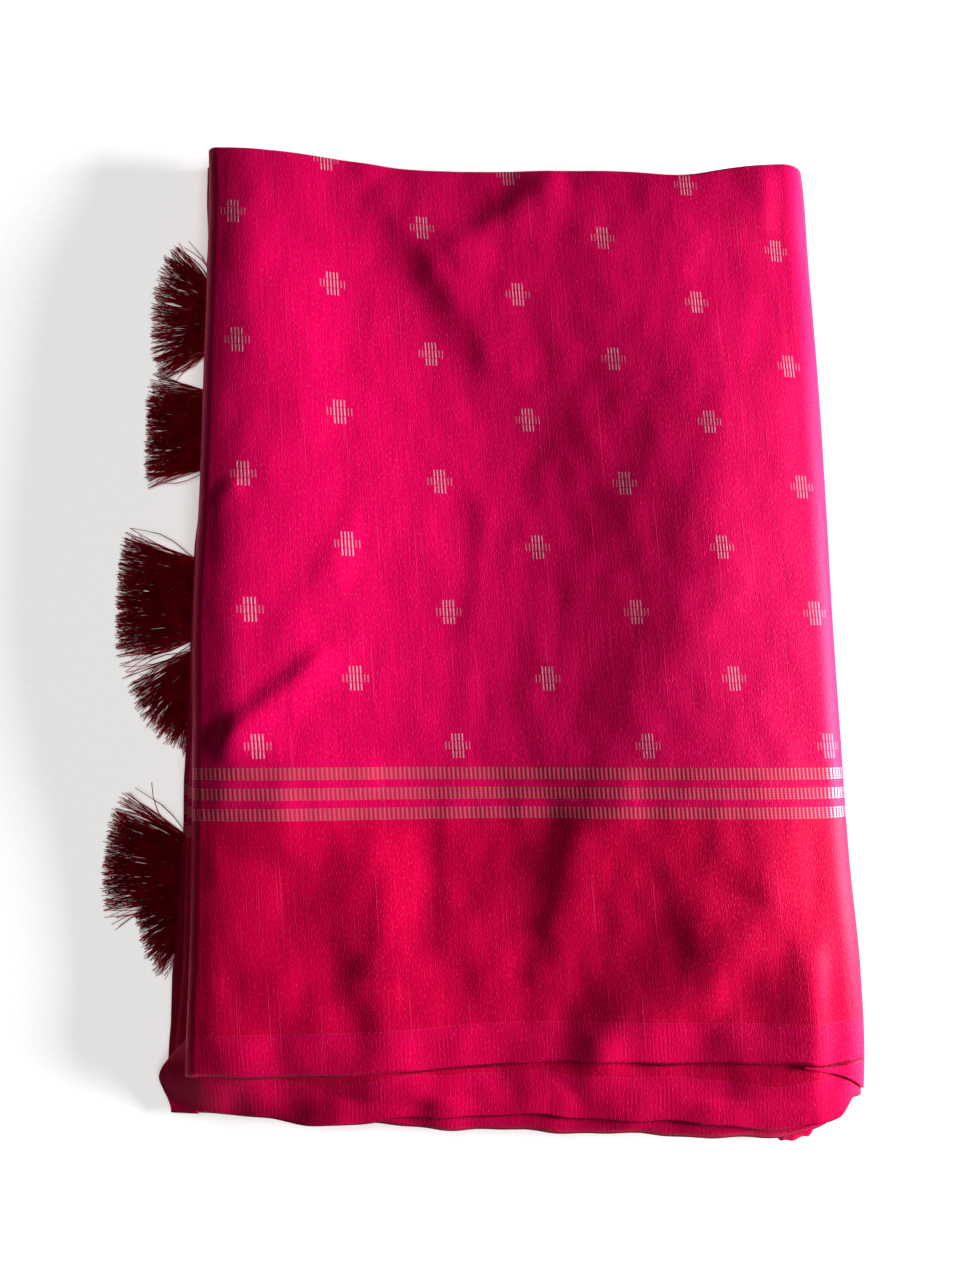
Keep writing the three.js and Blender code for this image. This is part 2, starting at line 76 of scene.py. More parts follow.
# The pile from front to back: its edges, and its height at the left crest, in the trough where the plies
# sink, on the ridge that the last fold pushes up, and where the right side turns down.
PILE = table(
    "y left right crest trough_x trough ridge_x ridge right_high",
    (-306, -196, 204, 5, -100, 8, 176, 14, 12.5),
    (-285, -195, 206, 8, -95, 15.5, 176, 23.5, 21),
    (-255, -193, 208, 20, -20, 19, 176, 24.5, 22.5),
    (-192, -191, 206, 23, -36, 20.5, 166, 29, 26),
    (-132, -190, 201, 25.5, -42, 20, 142, 30.5, 25),
    (-60, -189, 197, 31, -28, 19.5, 132, 29, 24.5),
    (12, -189, 193.5, 34.5, -19, 19.5, 120, 28.5, 23.3),
    (96, -186, 190, 34.5, -10, 18.8, 121, 29, 23.8),
    (156, -185, 187, 33.5, -27, 19.5, 122, 28.8, 24),
    (228, -184, 182, 30.5, -68, 20, 100, 27, 24.5),
    (285, -185, 177, 23.5, -68, 18.5, 150, 30, 29.9),
    (306, -186, 174, 22, -68, 18, 150, 28, 27.3),
)

# The fold across the width, and the selvedges of the top ply and the two under it, from left to right.
EDGES = table(
    "x back first second third",
    (-215, 302, -259, -279, -274),
    (-185, 301, -257.5, -281, -277),
    (-140, 298, -256.5, -284, -282),
    (-90, 292, -255, -285.5, -285),
    (-60, 288, -253, -281.5, -287),
    (-20, 286, -249.5, -279.5, -288.5),
    (30, 285, -247.5, -280, -289.5),
    (80, 283, -247.5, -282, -290.5),
    (115, 280, -247.5, -283.5, -291),
    (150, 284, -247.5, -285, -291),
    (178, 286, -248, -279, -277),
    (196, 286, -246, -267, -268),
)

# Creases and soft folds in the top plies: the crest line from front to back, how wide its left and right
# slopes are, and how high it stands.
FOLDS = (
    ("throat crease", ((-4, 150), (-16, 181), (-30, 204), (-46, 229), (-64, 251), (-86, 276)), 12, 24, 1.9),
    ("back crease", ((-40, 232), (-16, 249), (8, 263), (32, 280)), 11, 18, 1.8),
    ("back corner crease", ((148, 244), (154, 264), (158, 284)), 18, 14, 1.3),
    ("long ridge", ((8, -171), (38, -120), (64, -60), (90, -12), (110, 45), (120, 110)), 20, 26, 1.2),
    ("long ridge's tongue", ((18, -176), (36, -132), (48, -98)), 14, 22, 1.2),
    ("pulled crease", ((-176, -68), (-150, -44), (-127, -25), (-106, -6)), 8, 13, 2.8),
    ("side nick", ((-180, 80), (-160, 92)), 5, 9, 0.9),
    ("bent crease", ((-146, -8), (-122, 22), (-104, 48), (-90, 82)), 9, 16, 0.8),
    ("short crease", ((-25, -6), (-20, 30), (-14, 88)), 8, 17, 0.9),
    ("stripe swell", ((-133, -134), (-133, -98), (-131, -62)), 22, 48, 2.3),
    ("left swell", ((-140, 30), (-128, 100), (-128, 200)), 22, 22, 0.8),
    ("border fold", ((-38, -192), (-37, -150), (-37, -104), (-36, -70)), 8, 14, 0.8),
    ("border swell", ((-72, -214), (-77, -160), (-80, -104)), 26, 18, 3.0),
    ("front swell", ((-76, -272), (-72, -228), (-69, -202)), 27, 44, 2.5),
    ("border ridge", ((31, -262), (60, -231), (102, -206), (129, -183), (141, -154)), 22, 18, 3.5),
    ("corner ridge", ((172, -268), (173, -225), (172, -178)), 27, 10, 3.2),
    ("border ripple", ((-117, -262), (-112, -216)), 13, 14, 0.9),
    ("selvedge ripple", ((-160, -262), (-156, -236)), 9, 9, 0.5),
    ("lip ripple", ((-46, -300), (-43, -266)), 9, 15, 1.4),
    ("lip ripple 2", ((-104, -300), (-100, -270)), 12, 12, 0.8),
    ("lip ripple 3", ((120, -300), (124, -268)), 14, 16, 0.9),
)

# How each selvedge wavers: each wave's height, its length divided by tau, and its phase.
WAVER = {
    "first": ((0.8, 17, 0), (0.5, 7.3, 0)),
    "second": ((0.9, 13, 1), (0.5, 5.9, 0)),
    "third": ((0.9, 11, 2), (0.4, 4.7, 0)),
}

TURN_LEFT = 8  # how far in from the left edge the top half of the pile begins to turn under
TURN_RIGHT = 15  # the same at the right, where the last fold turns down to the floor
TURNS_AT = (-181, 179)  # the x at which the table of edges is read where the two turns begin
READ_FROM, READ_TO = -189, 194  # and the furthest out that it is read
RIGHT_FALL = 1.5  # how the height falls from the ridge to the right turn: 1 is straight
LEFT_FALL = 0.78  # under 1, the fall from the left crest to the trough is steepest nearer the crest
SHOULDER = {"wide": 18, "drop": 1.6}  # the soft rounding inside the left edge
CALM = {"left": 16, "past": 4, "right": 14}  # the creases fade out over this much before the turns
PLY = 1.5  # what one ply of the last fold takes up in the pile
WALL = 0.9  # its thickness
ROLL = 2.0  # the radius of the fold across the width
RUN_LONG = 400  # about how much cloth lies from one turn to the next
WIDTH = 1150  # the width of the cloth on the loom

# The top ply's rows up to the fold at the back and round it, how far it goes on under the fold, and how much
# of its roundness the fold keeps.
BACK_FOLD = {"flat": 0.93, "rolled": 0.98, "under": 8, "round": 0.8}
# The second ply's rows that show, how far in front of the top ply's selvedge they end, and how far the rest
# goes in under it.
SECOND = {"shown": 0.7, "ahead": 1.8, "under": 26}
THIRD_UNDER = 14  # how far the third ply goes in under the top one
# The second ply's left end flares out past the top one: how far at its selvedge and at the top ply's, how
# much it droops, and how far in front of the top ply's selvedge it begins to fade and behind it is gone.
EAR = {"tip": 10.5, "reach": 19, "droop": 0.45, "full": 3, "gone": 30}
# The corner of the last fold, by its share of the girth: it widens from the least to the most.
CORNER = {"from": 0.77, "full": 0.9, "to": 0.93, "least": 1, "most": 18, "clear": 0.3}
# The crumpled tuck under that corner: its two ends, how far forward it comes at each, its height, how high
# off the floor it is, where its back lies, how narrow its ends are drawn, and how long it is round its bulge.
TUCK = {"x0": 154, "x1": 185, "front0": -300, "front1": -293, "high": 8, "floor": 2, "shift": 9,
        "behind": 0.8, "narrow": 0.25, "long": 18}
# How far the bottom ply is short of the third selvedge, the back fold and the two turns, and its height.
BOTTOM = {"front": 12, "back": 10, "left": 1, "right": 0.3, "high": 1.0}
SHIFT = {"second": 6, "third": 12, "bottom": 40}  # how far each ply's weave is out of step with the top one's
SELVEDGE_Y = -284  # from where the bottom ply's weave is measured


# ---- the shape of the pile ----

def smooth(start, end, at):
    t = np.clip((at - start) / (end - start), 0, 1)
    return t * t * (3 - 2 * t)


def mix(a, b, t):
    return a + (b - a) * t


def crest_lift(x, y, path, left_wide, right_wide, high):
    """How much one fold lifts the cloth, by the nearest point on its crest line and the side of it."""
    path = np.array(path, float)
    legs = np.hypot(*np.diff(path, axis=0).T)
    walked = np.concatenate([[0], np.cumsum(legs)])
    even = np.linspace(0, walked[-1], 4 * len(path))
    line = np.stack([np.interp(even, walked, path[:, k]) for k in (0, 1)], axis=1)
    nearest = np.full(x.shape, 1e9)
    lift = np.zeros(x.shape)
    for k in range(len(line) - 1):
        (ax, ay), (bx, by) = line[k], line[k + 1]
        long = math.hypot(bx - ax, by - ay)
        ux, uy = (bx - ax) / long, (by - ay) / long
        along = np.clip((x - ax) * ux + (y - ay) * uy, 0, long)
        away = np.hypot(x - ax - along * ux, y - ay - along * uy)
        beside = (x - ax) * -uy + (y - ay) * ux
        share = (even[k] + along) / walked[-1]
        fade = np.sqrt(smooth(-0.02, 0.22, share) * smooth(1.02, 0.78, share))
        wide = np.where(beside > 0, left_wide, right_wide)
        closer = away < nearest
        nearest = np.where(closer, away, nearest)
        lift = np.where(closer, high * fade * np.exp(-((away / wide) ** 2)), lift)
    return lift


def rumple(x, y):
    """The unevenness of handled silk: soft dents 15 to 40 mm across, deeper in the thin border."""
    broad = [noise.noise(Vector((a / 30, b / 40, 3.1))) for a, b in zip(x.ravel(), y.ravel())]
    small = [noise.noise(Vector((a / 14, b / 17, 7.7))) for a, b in zip(x.ravel(), y.ravel())]
    broad, small = (np.array(dents).reshape(x.shape) for dents in (broad, small))
    return broad * mix(0.7, 1.1, smooth(80, 120, -y)) + small * mix(0.32, 0.42, smooth(60, 130, -y))


def inner_left(y):
    return PILE["left"](y) + TURN_LEFT


def inner_right(y):
    return PILE["right"](y) - TURN_RIGHT


def right_slope(y):
    """How steeply the pile falls where its right turn begins."""
    drop = PILE["ridge"](y) - PILE["right_high"](y)
    return RIGHT_FALL * drop / (inner_right(y) - PILE["ridge_x"](y))


def pile_height(x, y):
    """The pile without its creases: a saddle, low along the middle where only plies lie and no folds."""
    start, crest_x = inner_left(y), inner_left(y) + SHOULDER["wide"]
    trough_x, ridge_x, end = PILE["trough_x"](y), PILE["ridge_x"](y), inner_right(y)
    crest, trough, ridge = PILE["crest"](y), PILE["trough"](y), PILE["ridge"](y)
    shoulder = SHOULDER["drop"] * np.clip((crest_x - x) / SHOULDER["wide"], 0, 1) ** 2
    fall = np.clip((x - ridge_x) / (end - ridge_x), 0, 1) ** RIGHT_FALL
    sink = smooth(0, 1, np.clip((x - crest_x) / (trough_x - crest_x), 0, 1) ** LEFT_FALL)
    high = crest + (trough - crest) * sink + (ridge - trough) * smooth(trough_x, ridge_x, x)
    return high - (ridge - PILE["right_high"](y)) * fall - shoulder


def skin(x, y):
    """The height of the pile's upper face, creases and all."""
    x, y = np.broadcast_arrays(np.asarray(x, float), np.asarray(y, float))
    relief = sum(crest_lift(x, y, *fold[1:]) for fold in FOLDS) + rumple(x, y)
    calm = smooth(0, CALM["left"], x - inner_left(y) + CALM["past"])
    calm = calm * smooth(0, CALM["right"], inner_right(y) - x)
    return pile_height(x, y) + relief * calm


def selvedge(name, at):
    """The y of a ply's selvedge, which wavers a little."""
    return EDGES[name](at) + sum(high * np.sin(at / long + phase) for high, long, phase in WAVER[name])


# Along the girth, 0 is the lower end at the left and 1 the end on the floor at the right.
LEFT_SHARE, RIGHT_SHARE = 0.12, 0.82


def girth_point(share, y, depth, flare=0.0):
    """A point of a ply that wraps the pile, at a depth under its skin, and how far along the girth it is.

    At the left the ply turns under only the upper half of the pile; at the right it goes down to the floor.
    """
    start, end = inner_left(y), inner_right(y)
    left_high, right_high = skin(start, y), skin(end, y)
    flat_x = mix(start, end, np.clip((share - LEFT_SHARE) / (RIGHT_SHARE - LEFT_SHARE), 0, 1))
    x, z = flat_x, skin(flat_x, y) - depth
    half = left_high / 4
    turn = math.pi * (np.clip(share / LEFT_SHARE, 0, 1) - 0.5)
    droop = np.where(flare > 0, 1 - EAR["droop"] * np.cos(turn), 1)
    on_left = share < LEFT_SHARE
    x = np.where(on_left, start - (TURN_LEFT - depth + flare) * np.cos(turn), x)
    z = np.where(on_left, (left_high - half + (half - depth) * np.sin(turn)) * droop, z)
    x = np.where(share < 0, start - share * RUN_LONG, x)  # the ply goes on a little way between the layers
    half = right_high / 2
    turn = math.pi * (0.5 - (share - RIGHT_SHARE) / (1 - RIGHT_SHARE))
    on_right = share > RIGHT_SHARE
    x = np.where(on_right, end + (TURN_RIGHT - depth) * np.cos(turn), x)
    lean = right_slope(y) * TURN_RIGHT * np.cos(turn) * np.clip(np.sin(turn), 0, 1)
    z = np.where(on_right, half + (half - depth) * np.sin(turn) - lean, z)
    round_left = (share - LEFT_SHARE) / LEFT_SHARE * math.pi * (TURN_LEFT + left_high / 4) / 2
    round_right = (share - RIGHT_SHARE) / (1 - RIGHT_SHARE) * math.pi * (TURN_RIGHT + right_high / 2) / 2
    spread = np.where(on_left, start + round_left, np.where(on_right, end + round_right, flat_x))
    return x, z, spread


def edges_of(share):
    """The x at which the edges of a ply are read, for a share of the girth."""
    t = (share - LEFT_SHARE) / (RIGHT_SHARE - LEFT_SHARE)
    return np.clip(mix(*TURNS_AT, t), READ_FROM, READ_TO)


# ---- the cloth's own measure: how far along its length and how far in from its selvedge ----

STRIPES_AT, STRIPE_PITCH, STRIPE_COUNT = 178.0, 12.0, 3  # the innermost zari stripe, from the selvedge
STRIPE_Y = -79.2  # where the innermost stripe lies on the pile
BUTTI_ALONG, BUTTI_IN = 114.0, 79.0  # one repeat of the plus signs
BUTTI_ROW = 0.2025  # how far the first row is from the innermost stripe, in repeats
LAID = {"x": -148.8, "y": -63, "along": 118.8, "in": 80}  # where the first plus sign lies, and its repeat
# How the handled cloth lies askew: how much the rows crowd towards the back right, from what x and over what
# length, and how much the columns crowd towards the right, lean and twist.
SKEW = {"rows": 1.55, "from": -150, "over": 330, "columns": 2.35, "lean": 4.8, "twist": 0.7}


def top_cloth_measure(x, y):
    """Where a place on the top ply is in the cloth: the rows of buttis lie a little skewed and stretched."""
    right = x - LAID["x"]
    back = y - LAID["y"]
    column = right / BUTTI_ALONG
    row = back / LAID["in"]
    for _ in range(8):
        crowd = SKEW["rows"] * row * row * (x - SKEW["from"]) / SKEW["over"]
        row = (back + crowd) / LAID["in"]
        lean = (SKEW["lean"] + SKEW["twist"] * column) * row
        column = (right + SKEW["columns"] * column * column + lean) / LAID["along"]
    above = STRIPES_AT + (row + BUTTI_ROW) * BUTTI_IN
    first = EDGES["first"](x)
    below = STRIPES_AT * (y - first) / (STRIPE_Y - first)
    return column * BUTTI_ALONG, np.where(y > STRIPE_Y, above, below)


# ---- materials ----

def linear(colour):
    """An sRGB hex colour as linear red, green, blue and alpha."""
    parts = [int(colour[k:k + 2], 16) / 255 for k in (1, 3, 5)]
    return [c / 12.92 if c <= 0.04045 else ((c + 0.055) / 1.055) ** 2.4 for c in parts] + [1.0]


def add(tree, kind, inputs=None, **settings):
    """Add a node with its settings, and link or set its inputs. Gives its outputs."""
    made = tree.nodes.new("ShaderNode" + kind)
    for name, value in settings.items():
        setattr(made, name, value)
    for socket, value in (inputs or {}).items():
        if isinstance(value, bpy.types.NodeSocket):
            tree.links.new(value, made.inputs[socket])
        else:
            made.inputs[socket].default_value = value
    return made.outputs


def new_material(name):
    material = bpy.data.materials.new(name)
    material.use_nodes = True
    material.node_tree.nodes.clear()
    return material, material.node_tree


def raw_silk_with_zari():
    """Raw silk, hand woven with slubs, with a satin selvedge band and with stripes and buttis of zari.

    To the eye: deep pink with a soft directional sheen, streaked along the weft by thick and thin yarn. The
    zari, thread wrapped in metal, is dull in shade and flashes cream where it turns to the light.
    """
    material, tree = new_material("raw silk, hand woven")
    uv = add(tree, "UVMap", uv_map="cloth")[0]
    place = add(tree, "SeparateXYZ", {0: uv})
    along = add(tree, "Math", {0: place[0], 1: 1000.0}, operation="MULTIPLY")[0]
    inward = add(tree, "Math", {0: place[1], 1: 1000.0}, operation="MULTIPLY")[0]

    # Slubs: thick yarn every millimetre or so, 34 mm long. The plain thread grain is 0.3 mm; drawn at 0.8.
    slub_at = add(tree, "CombineXYZ", {
        0: add(tree, "Math", {0: along, 1: 1.3}, operation="DIVIDE")[0],
        1: add(tree, "Math", {0: inward, 1: 34.0}, operation="DIVIDE")[0]})[0]
    slub = add(tree, "TexNoise", {"Vector": slub_at, "Scale": 1.0, "Detail": 3.0, "Roughness": 0.6})["Fac"]
    grain_at = add(tree, "CombineXYZ", {
        0: add(tree, "Math", {0: along, 1: 0.8}, operation="DIVIDE")[0],
        1: add(tree, "Math", {0: inward, 1: 2.4}, operation="DIVIDE")[0]})[0]
    grain = add(tree, "TexNoise", {"Vector": grain_at, "Scale": 1.0, "Detail": 2.0})["Fac"]
    # Flecks: the ends of thick yarn that catch the light, 0.75 by 2.2 mm, and a few thick yarns 70 mm long.
    fleck_at = add(tree, "CombineXYZ", {
        0: add(tree, "Math", {0: along, 1: 0.75}, operation="DIVIDE")[0],
        1: add(tree, "Math", {0: inward, 1: 2.2}, operation="DIVIDE")[0], 2: 5.0})[0]
    fleck_noise = add(tree, "TexNoise", {"Vector": fleck_at, "Scale": 1.0, "Detail": 1.0})["Fac"]
    fleck = add(tree, "MapRange", {0: fleck_noise, 1: 0.58, 2: 0.72, 3: 0.0, 4: 1.0})[0]
    thick_at = add(tree, "CombineXYZ", {
        0: add(tree, "Math", {0: along, 1: 1.1}, operation="DIVIDE")[0],
        1: add(tree, "Math", {0: inward, 1: 70.0}, operation="DIVIDE")[0], 2: 9.0})[0]
    thick_noise = add(tree, "TexNoise", {"Vector": thick_at, "Scale": 1.0, "Detail": 0.0})["Fac"]
    thick = add(tree, "MapRange", {0: thick_noise, 1: 0.72, 2: 0.84, 3: 0.0, 4: 1.0})[0]

    # The satin selvedge band is 25 mm wide, ribbed every 2.4 mm, with one light thread at its inner edge.
    in_band = add(tree, "MapRange", {0: inward, 1: 24.6, 2: 25.4, 3: 1.0, 4: 0.0})[0]
    rib_turn = add(tree, "Math", {0: along, 1: math.tau / 2.4}, operation="MULTIPLY")[0]
    rib_wave = add(tree, "Math", {0: rib_turn}, operation="SINE")[0]
    patch = add(tree, "TexNoise", {"Vector": uv, "Scale": 55.0, "Detail": 1.0})["Fac"]
    rib = add(tree, "Math", {0: rib_wave, 1: add(tree, "MapRange", {0: patch, 1: 0.46, 2: 0.62, 3: 0.12})[0]},
              operation="MULTIPLY")[0]
    band_line = add(tree, "Math", {0: inward, 1: 25.6, 2: 0.35}, operation="COMPARE")[0]

    # The border as far as the stripes is redder than the field.
    in_field = add(tree, "MapRange", {0: inward, 1: 149.5, 2: 151.0, 3: 0.0, 4: 1.0})[0]

    # Three zari stripes 7 mm high, 12 mm apart: dashes every 2.6 mm, crossed by dark threads every 1.4 mm.
    off_stripe = add(tree, "Math", {0: add(tree, "Math", {0: inward, 1: STRIPES_AT}, operation="SUBTRACT")[0],
                                    1: STRIPE_PITCH / 2, 2: -STRIPE_PITCH / 2}, operation="WRAP")[0]
    from_stripe = add(tree, "Math", {0: off_stripe}, operation="ABSOLUTE")[0]
    stripe_height = add(tree, "MapRange", {0: from_stripe, 1: 3.3, 2: 3.7, 3: 1.0, 4: 0.0})[0]
    among_stripes = add(tree, "Math", {
        0: inward, 1: STRIPES_AT - STRIPE_PITCH, 2: STRIPE_COUNT * STRIPE_PITCH / 2}, operation="COMPARE")[0]
    dash_turn = add(tree, "Math", {0: along, 1: math.tau / 2.6}, operation="MULTIPLY")[0]
    dash_wave = add(tree, "Math", {0: dash_turn}, operation="SINE")[0]
    cross_wave = add(tree, "Math", {0: add(tree, "Math", {0: off_stripe, 1: math.tau / 1.4},
                                           operation="MULTIPLY")[0]}, operation="COSINE")[0]
    dash = add(tree, "MapRange", {0: dash_wave, 1: -0.4, 2: 0.6, 3: 0.15, 4: 0.75})[0]
    crossing = add(tree, "MapRange", {0: cross_wave, 1: -0.6, 2: 0.2, 3: 0.3, 4: 0.9})[0]
    edge_thread = add(tree, "Math", {0: from_stripe, 1: 3.35, 2: 0.35}, operation="COMPARE")[0]
    body = add(tree, "Math", {0: dash, 1: crossing}, operation="MULTIPLY")[0]
    edge_zari = add(tree, "Math", {0: edge_thread, 1: 0.3}, operation="MULTIPLY")[0]
    stripe_weave = add(tree, "Math", {0: body, 1: edge_zari}, operation="MAXIMUM")[0]
    stripe = add(tree, "Math", {0: add(tree, "Math", {0: stripe_height, 1: among_stripes},
                                       operation="MULTIPLY")[0], 1: stripe_weave}, operation="MULTIPLY")[0]

    # Buttis: plus signs 16 mm wide and 14 mm high, in rows set half a repeat over from each other, so that
    # both kinds of row lie on one slanted lattice.
    column = add(tree, "Math", {0: along, 1: BUTTI_ALONG}, operation="DIVIDE")[0]
    row = add(tree, "Math", {0: inward, 1: 1 / BUTTI_IN, 2: -STRIPES_AT / BUTTI_IN - BUTTI_ROW},
              operation="MULTIPLY_ADD")[0]
    rising = add(tree, "Math", {0: add(tree, "Math", {0: column, 1: row}, operation="ADD")[0],
                                1: 0.5, 2: -0.5}, operation="WRAP")[0]
    falling = add(tree, "Math", {0: add(tree, "Math", {0: column, 1: row}, operation="SUBTRACT")[0],
                                 1: 0.5, 2: -0.5}, operation="WRAP")[0]
    beside = add(tree, "Math", {0: add(tree, "Math", {0: rising, 1: falling}, operation="ADD")[0],
                                1: BUTTI_ALONG / 2}, operation="MULTIPLY")[0]
    above = add(tree, "Math", {0: add(tree, "Math", {0: rising, 1: falling}, operation="SUBTRACT")[0],
                               1: BUTTI_IN / 2}, operation="MULTIPLY")[0]
    wide = add(tree, "Math", {0: beside}, operation="ABSOLUTE")[0]
    tall = add(tree, "Math", {0: above}, operation="ABSOLUTE")[0]
    arm = add(tree, "Math", {
        0: add(tree, "MapRange", {0: wide, 1: 7.9, 2: 8.3, 3: 1.0, 4: 0.0})[0],
        1: add(tree, "MapRange", {0: tall, 1: 2.2, 2: 2.5, 3: 1.0, 4: 0.0})[0]}, operation="MULTIPLY")[0]
    stem = add(tree, "Math", {
        0: add(tree, "MapRange", {0: wide, 1: 3.7, 2: 4.1, 3: 1.0, 4: 0.0})[0],
        1: add(tree, "MapRange", {0: tall, 1: 7.0, 2: 7.3, 3: 1.0, 4: 0.0})[0]}, operation="MULTIPLY")[0]
    parting = add(tree, "Math", {0: tall, 1: 2.65, 2: 0.22}, operation="COMPARE")[0]
    plus = add(tree, "Math", {
        0: add(tree, "Math", {0: arm, 1: stem}, operation="MAXIMUM")[0],
        1: add(tree, "MapRange", {0: parting, 3: 1.0, 4: 0.25})[0]}, operation="MULTIPLY")[0]
    pick_wave = add(tree, "Math", {0: add(tree, "Math", {0: beside, 1: math.tau / 2.03},
                                          operation="MULTIPLY")[0]}, operation="COSINE")[0]
    pick = add(tree, "MapRange", {0: pick_wave, 1: -0.7, 2: 0.1, 3: 1.0, 4: 0.05})[0]
    field_start = add(tree, "Math", {0: inward, 1: STRIPES_AT + 6.5}, operation="GREATER_THAN")[0]
    butti = add(tree, "Math", {
        0: add(tree, "Math", {0: plus, 1: pick}, operation="MULTIPLY")[0],
        1: field_start}, operation="MULTIPLY")[0]
    heart = add(tree, "MapRange", {0: wide, 1: 3.6, 2: 4.6, 3: 1.0, 4: 0.35})[0]
    butti_ground = add(tree, "Math", {
        0: add(tree, "Math", {0: arm, 1: stem}, operation="MAXIMUM")[0], 1: field_start},
        operation="MULTIPLY")[0]

    # Colour: field and border, streaked by the slubs, darker in the butti's open ground.
    streak = add(tree, "MapRange", {0: slub, 1: 0.3, 2: 0.7, 3: 0.0, 4: 1.0})[0]
    field = add(tree, "Mix", {"Factor": streak, 6: linear("#d0024d"), 7: linear("#f2035f")},
                data_type="RGBA")[2]
    border = add(tree, "Mix", {"Factor": streak, 6: linear("#c8003a"), 7: linear("#e80047")},
                 data_type="RGBA")[2]
    ground = add(tree, "Mix", {"Factor": in_field, 6: border, 7: field}, data_type="RGBA")[2]
    # Painted shade and light: the satin is painted darker in the hollows of its ribs and lighter on their
    # crests.
    rib_painted_shade = add(tree, "MapRange", {0: rib, 1: -1.0, 2: 1.0, 3: 0.0, 4: 1.0})[0]
    satin = add(tree, "Mix", {"Factor": rib_painted_shade, 6: linear("#d80149"), 7: linear("#f00354")},
                data_type="RGBA")[2]
    banded = add(tree, "Mix", {"Factor": in_band, 6: ground, 7: satin}, data_type="RGBA")[2]
    # Painted shade: the very edge, where the cloth's thickness shows, is painted dark, as a shadow line along
    # it.
    edge = add(tree, "MapRange", {0: inward, 1: 0.5, 2: 1.1, 3: 0.7, 4: 0.0})[0]
    banded = add(tree, "Mix", {"Factor": edge, 6: banded, 7: linear("#4c0018")}, data_type="RGBA")[2]
    # Painted highlight: the flecks are painted a lighter pink, as glints where they catch the light; the long
    # thick yarns and the band's inner thread are lighter yarn of their own.
    painted_glint_and_thick_yarn = add(tree, "Math", {0: add(tree, "Math", {0: fleck, 1: thick}, operation="MAXIMUM")[0], 1: 0.2},
                 operation="MULTIPLY")[0]
    line = add(tree, "Math", {0: band_line, 1: 0.13}, operation="MULTIPLY")[0]
    lined = add(tree, "Mix", {
        "Factor": add(tree, "Math", {0: painted_glint_and_thick_yarn, 1: line}, operation="MAXIMUM")[0],
        6: banded, 7: linear("#ff4a7e")}, data_type="RGBA")[2]
    opened = add(tree, "Mix", {
        "Factor": add(tree, "Math", {0: butti_ground, 1: 0.35}, operation="MULTIPLY")[0],
        6: lined, 7: linear("#7a0526")}, data_type="RGBA")[2]
    heart_zari = add(tree, "Math", {0: heart, 1: butti}, operation="MULTIPLY")[0]
    white_thread = add(tree, "Mix", {"Factor": heart_zari, 6: linear("#f0386c"), 7: linear("#f896b2")},
                       data_type="RGBA")[2]
    buttied = add(tree, "Mix", {"Factor": butti, 6: opened, 7: white_thread}, data_type="RGBA")[2]
    colour = add(tree, "Mix", {"Factor": add(tree, "Math", {0: stripe, 1: 0.5}, operation="MULTIPLY")[0],
                                6: buttied, 7: linear("#ffc8b4")}, data_type="RGBA")[2]

    rough = add(tree, "MapRange", {0: stripe, 1: 0.0, 2: 0.4, 3: 0.46, 4: 0.4})[0]
    rough_all = add(tree, "Math", {0: rough, 1: add(tree, "MapRange", {0: grain, 3: -0.03, 4: 0.03})[0]},
                    operation="ADD")[0]
    metal = add(tree, "MapRange", {0: stripe, 1: 0.1, 2: 0.8, 3: 0.0, 4: 0.9})[0]

    # Height, in mm: slubs at most 0.08 proud, grain 0.2, flecks 0.06, long thick yarns 0.05, the band's ribs
    # 0.02 and the zari's 0.055. In the zari stripes the yarn lies flatter.
    in_stripe = add(tree, "Math", {0: stripe_height, 1: among_stripes}, operation="MULTIPLY")[0]
    height = add(tree, "Math", {0: slub, 1: 0.08}, operation="MULTIPLY")[0]
    height = add(tree, "Math", {0: grain, 1: 0.2, 2: height}, operation="MULTIPLY_ADD")[0]
    height = add(tree, "Math", {0: fleck, 1: 0.06, 2: height}, operation="MULTIPLY_ADD")[0]
    height = add(tree, "Math", {0: thick, 1: 0.05, 2: height}, operation="MULTIPLY_ADD")[0]
    height = add(tree, "Math", {
        0: height, 1: add(tree, "MapRange", {0: in_stripe, 3: 1.0, 4: 0.12})[0]}, operation="MULTIPLY")[0]
    height = add(tree, "Math", {0: add(tree, "Math", {0: rib, 1: in_band}, operation="MULTIPLY")[0],
                                1: 0.02, 2: height}, operation="MULTIPLY_ADD")[0]
    zari_rib = add(tree, "Math", {0: in_stripe, 1: dash_wave}, operation="MULTIPLY")[0]
    height = add(tree, "Math", {0: zari_rib, 1: 0.055, 2: height}, operation="MULTIPLY_ADD")[0]
    bump = add(tree, "Bump", {"Height": height, "Distance": 0.001, "Strength": 1.0})[0]

    shader = add(tree, "BsdfPrincipled", {
        "Base Color": colour, "Roughness": rough_all, "Metallic": metal, "Normal": bump,
        "Specular IOR Level": 0.16, "Specular Tint": linear("#ff4a8c"), "Sheen Weight": 0.04,
        "Sheen Roughness": 0.4, "Sheen Tint": linear("#ff1a5a")})[0]
    add(tree, "OutputMaterial", {0: shader})
    return material


